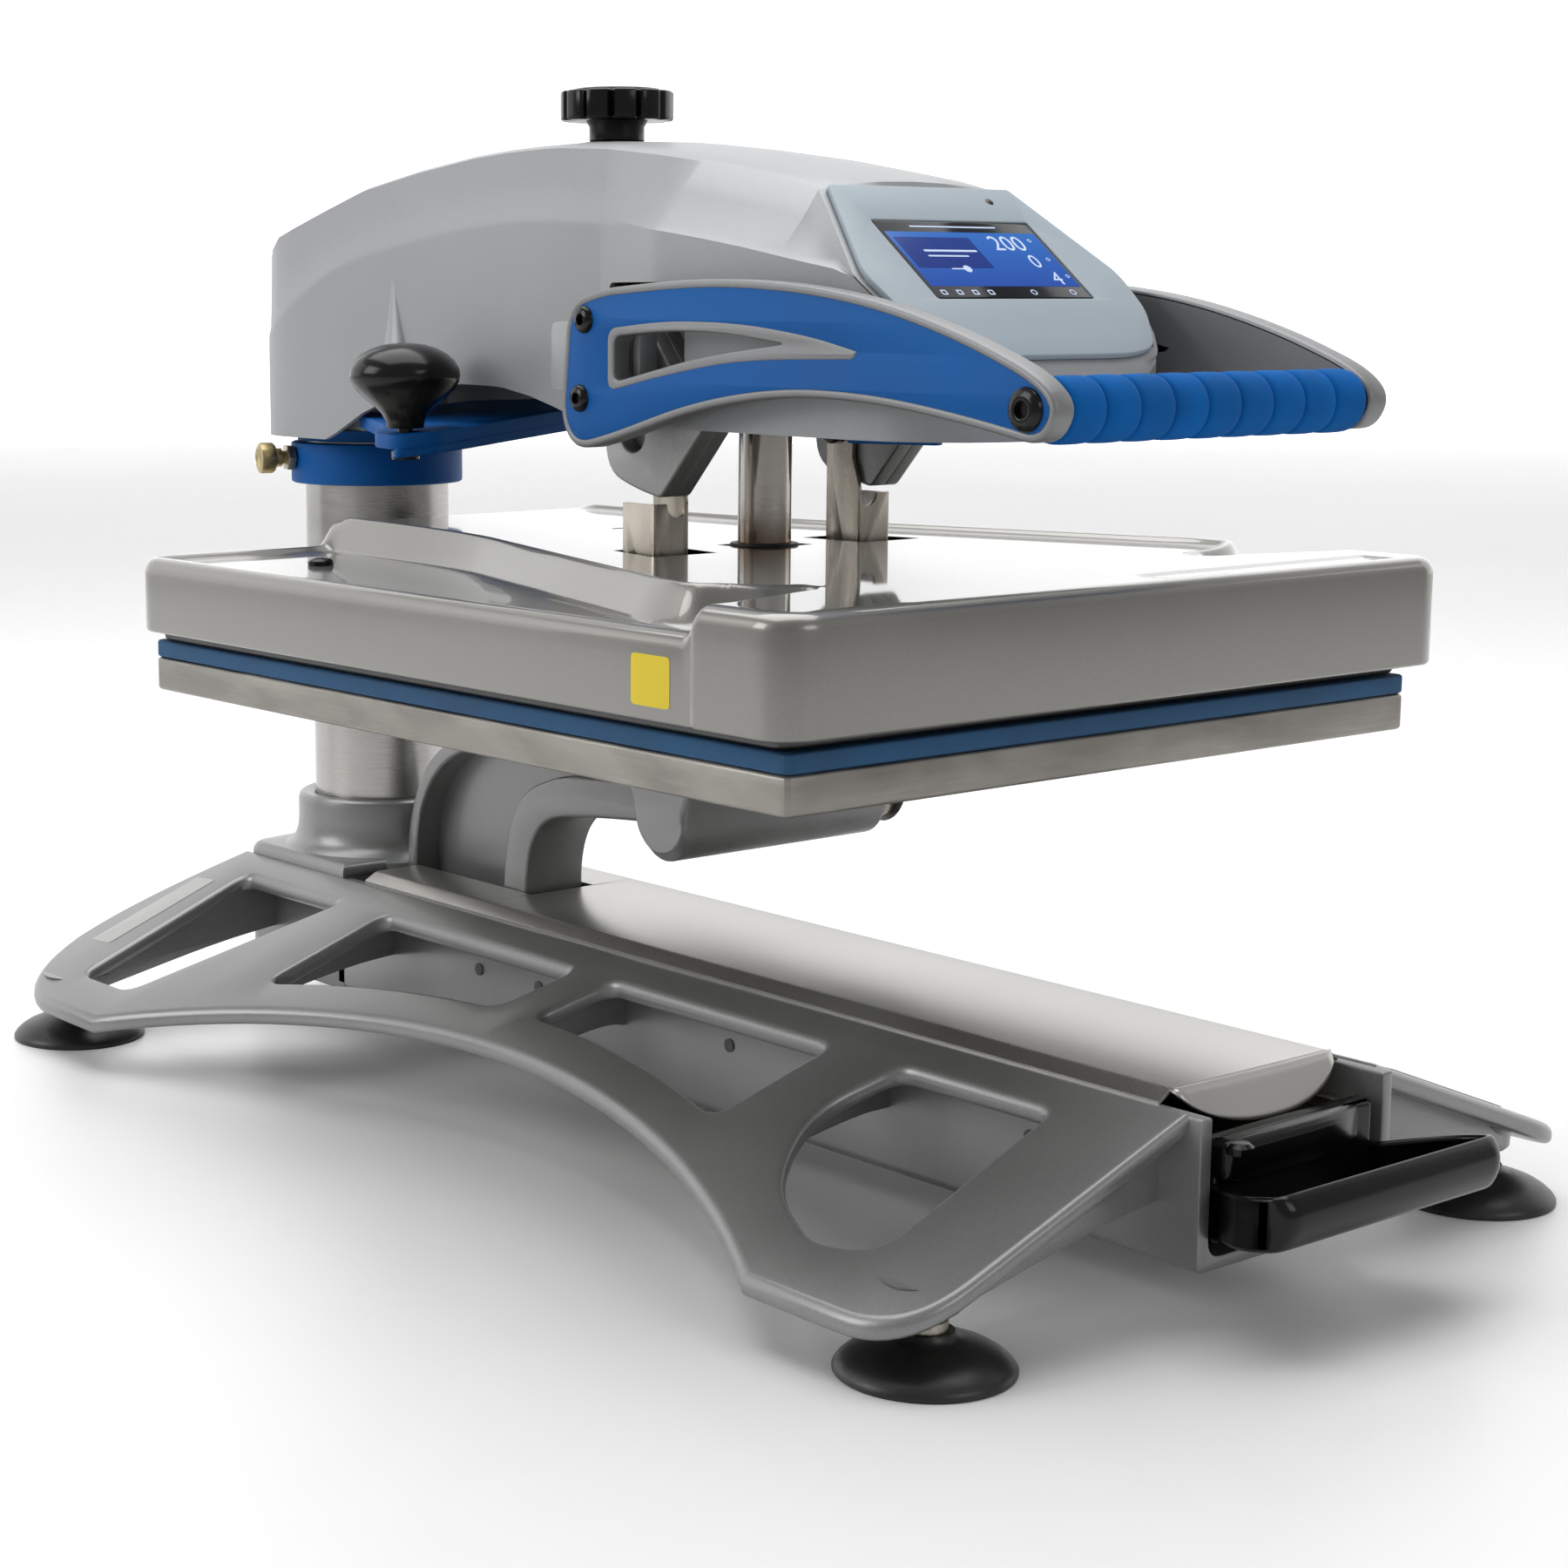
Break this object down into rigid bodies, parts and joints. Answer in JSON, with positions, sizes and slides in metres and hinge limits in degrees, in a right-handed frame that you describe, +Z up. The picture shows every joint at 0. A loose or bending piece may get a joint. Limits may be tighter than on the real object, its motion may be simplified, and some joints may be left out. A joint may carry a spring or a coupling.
{
  "type": "heat press",
  "caption": "Swing-away heat press with a pull-out lower platen, a heated upper platen on a toggle lever arm, a touch-screen head and a cast four-footed base.",
  "frame": {"origin": "on the floor, under the middle of the lower platen and of the whole press", "axes": "+X to the operator's right, +Y from the front (drawer and grip) to the back (column), +Z up"},
  "size_m": [0.4566, 0.824, 0.5345],
  "materials": {
    "base_paint": "satin metallic grey paint",
    "arm_paint": "satin light silver-grey paint",
    "cover_silver": "polished warm silver",
    "grey_casting": "satin grey casting",
    "platen_aluminium": "milled",
    "steel": "zinc plated",
    "chrome": "polished",
    "brass": "turned",
    "blue_paint": "satin blue",
    "grip_foam": "matte foam",
    "silicone": "matte silicone",
    "gloss_black": "glossy moulded",
    "black_plastic": "matte moulded",
    "foot_rubber": "satin rubber",
    "bezel_plastic": "pale blue-grey",
    "screen": "lit blue display under a glossy window",
    "circuit_board": "solder mask",
    "insulation": "fibre board",
    "heater": "oxidised"
  },
  "bodies": {
    "base": {"base_beam": "base_paint", "base_wing_left": "base_paint", "base_wing_right": "base_paint", "column_post": "chrome", "fixed_rail_left": "steel", "fixed_rail_right": "steel", "foot_cup_front_left": "foot_rubber", "foot_cup_front_right": "foot_rubber", "foot_cup_rear_left": "foot_rubber", "foot_cup_rear_right": "foot_rubber", "foot_stud_front_left": "steel", "foot_stud_front_right": "steel", "foot_stud_rear_left": "steel", "foot_stud_rear_right": "steel"},
    "drawer": {"slide_bar_left": "steel", "slide_bar_right": "steel", "drawer_carriage": "steel", "drawer_lid": "steel", "gooseneck": "base_paint", "platen_saddle": "base_paint", "lower_platen": "platen_aluminium", "platen_pad": "silicone", "drawer_pull": "gloss_black"},
    "lock_lever": {"platen_lock_lever": "steel"},
    "arm": {"arm_housing": "arm_paint", "arm_spine": "grey_casting", "column_sleeve": "chrome", "swing_collar": "blue_paint", "collar_nut": "steel", "swing_bracket": "blue_paint", "swing_knob": "gloss_black", "head_base": "arm_paint", "control_bezel": "bezel_plastic", "touch_screen": "screen", "control_board": "circuit_board", "pivot_bearing_left": "arm_paint", "pivot_bearing_right": "arm_paint", "power_inlet": "black_plastic"},
    "thumbscrew": {"thumbscrew": "brass"},
    "handle": {"handle_arm_left": "grey_casting", "handle_arm_right": "grey_casting", "handle_face_left": "blue_paint", "handle_face_right": "blue_paint", "grip_tube": "chrome", "grip_foam": "grip_foam", "pivot_shaft_left": "steel", "pivot_shaft_right": "steel", "crank_left": "grey_casting", "crank_right": "grey_casting"},
    "platen": {"heat_platen": "platen_aluminium", "heater_element": "heater", "insulation_board": "insulation", "platen_cover": "cover_silver", "guide_shaft": "chrome", "platen_lug_left": "steel", "platen_lug_right": "steel"},
    "link_left": {"toggle_link_left": "steel"},
    "link_right": {"toggle_link_right": "steel"},
    "pressure_knob": {"pressure_knob": "gloss_black"},
    "rocker": {"power_switch": "black_plastic"}
  },
  "joints": [
    {"name": "drawer_slide", "type": "slide", "parent": "base", "child": "drawer", "axis": [0, -1, 0], "range_m": [0, 0.33]},
    {"name": "lock_lever_turn", "type": "hinge", "parent": "drawer", "child": "lock_lever", "pos_m": [0.066, -0.022, 0.172], "axis": [1, 0, 0], "range_deg": [0, 40]},
    {"name": "arm_swing", "type": "hinge", "parent": "base", "child": "arm", "pos_m": [0, 0.339, 0.3], "axis": [0, 0, 1], "range_deg": [-90, 90]},
    {"name": "thumbscrew_turn", "type": "hinge", "parent": "arm", "child": "thumbscrew", "pos_m": [-0.0576, 0.3558, 0.333], "axis": [-0.96, 0.28, 0], "continuous": true},
    {"name": "handle_lift", "type": "hinge", "parent": "arm", "child": "handle", "pos_m": [0, 0.002, 0.397], "axis": [-1, 0, 0], "range_deg": [0, 75]},
    {"name": "platen_lift", "type": "slide", "parent": "arm", "child": "platen", "axis": [0, 0, 1], "range_m": [0, 0.036]},
    {"name": "link_left_turn", "type": "hinge", "parent": "platen", "child": "link_left", "pos_m": [-0.068, -0.006, 0.284], "axis": [1, 0, 0], "range_deg": [0, 25]},
    {"name": "link_right_turn", "type": "hinge", "parent": "platen", "child": "link_right", "pos_m": [0.068, -0.006, 0.284], "axis": [1, 0, 0], "range_deg": [0, 25]},
    {"name": "pressure_knob_turn", "type": "hinge", "parent": "arm", "child": "pressure_knob", "pos_m": [0, 0.11, 0.52], "axis": [0, 0, 1], "continuous": true},
    {"name": "power_switch_rock", "type": "hinge", "parent": "arm", "child": "rocker", "pos_m": [0, 0.39265, 0.402], "axis": [1, 0, 0], "range_deg": [-8, 8]}
  ],
  "couplings": [
    {"joint": "platen_lift", "follows": "handle_lift", "m_per_rad": 0.0272},
    {"joint": "link_left_turn", "follows": "handle_lift", "ratio": 0.321},
    {"joint": "link_right_turn", "follows": "handle_lift", "ratio": 0.321}
  ]
}
